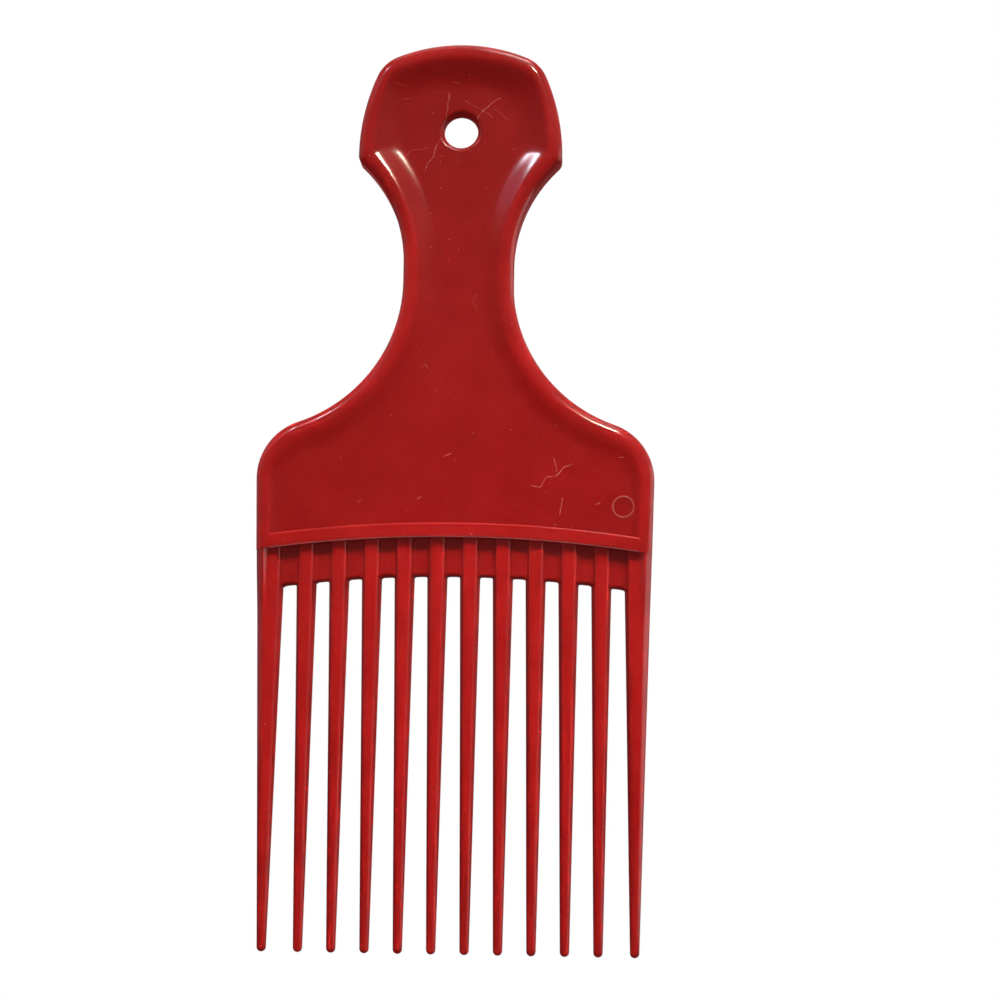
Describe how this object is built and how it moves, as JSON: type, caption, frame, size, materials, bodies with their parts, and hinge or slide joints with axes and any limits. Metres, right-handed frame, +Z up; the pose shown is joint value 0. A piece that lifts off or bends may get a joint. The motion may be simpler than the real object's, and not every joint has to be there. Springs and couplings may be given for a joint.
{
  "type": "afro pick",
  "caption": "Moulded plastic hair pick with a dished head, hang hole, waisted neck, broad rimmed palm plate, arched cross rib and a row of long tapered round-tipped teeth.",
  "frame": {"origin": "centre of the hang hole, halfway through the thickness", "axes": "+Z up the length with the head up and the teeth down, +X to the right seen from the front, +Y through the thickness from front to back"},
  "size_m": [0.0774, 0.0072, 0.178],
  "materials": {
    "moulded_plastic": "glossy red moulded plastic"
  },
  "bodies": {
    "root": {"grip_head": "moulded_plastic", "neck": "moulded_plastic", "palm_plate": "moulded_plastic", "cross_rib": "moulded_plastic", "tooth_01": "moulded_plastic", "tooth_02": "moulded_plastic", "tooth_03": "moulded_plastic", "tooth_04": "moulded_plastic", "tooth_05": "moulded_plastic", "tooth_06": "moulded_plastic", "tooth_07": "moulded_plastic", "tooth_08": "moulded_plastic", "tooth_09": "moulded_plastic", "tooth_10": "moulded_plastic", "tooth_11": "moulded_plastic", "tooth_12": "moulded_plastic", "root_web_01": "moulded_plastic", "root_web_02": "moulded_plastic", "root_web_03": "moulded_plastic", "root_web_04": "moulded_plastic", "root_web_05": "moulded_plastic", "root_web_06": "moulded_plastic", "root_web_07": "moulded_plastic", "root_web_08": "moulded_plastic", "root_web_09": "moulded_plastic", "root_web_10": "moulded_plastic", "root_web_11": "moulded_plastic"}
  },
  "joints": []
}
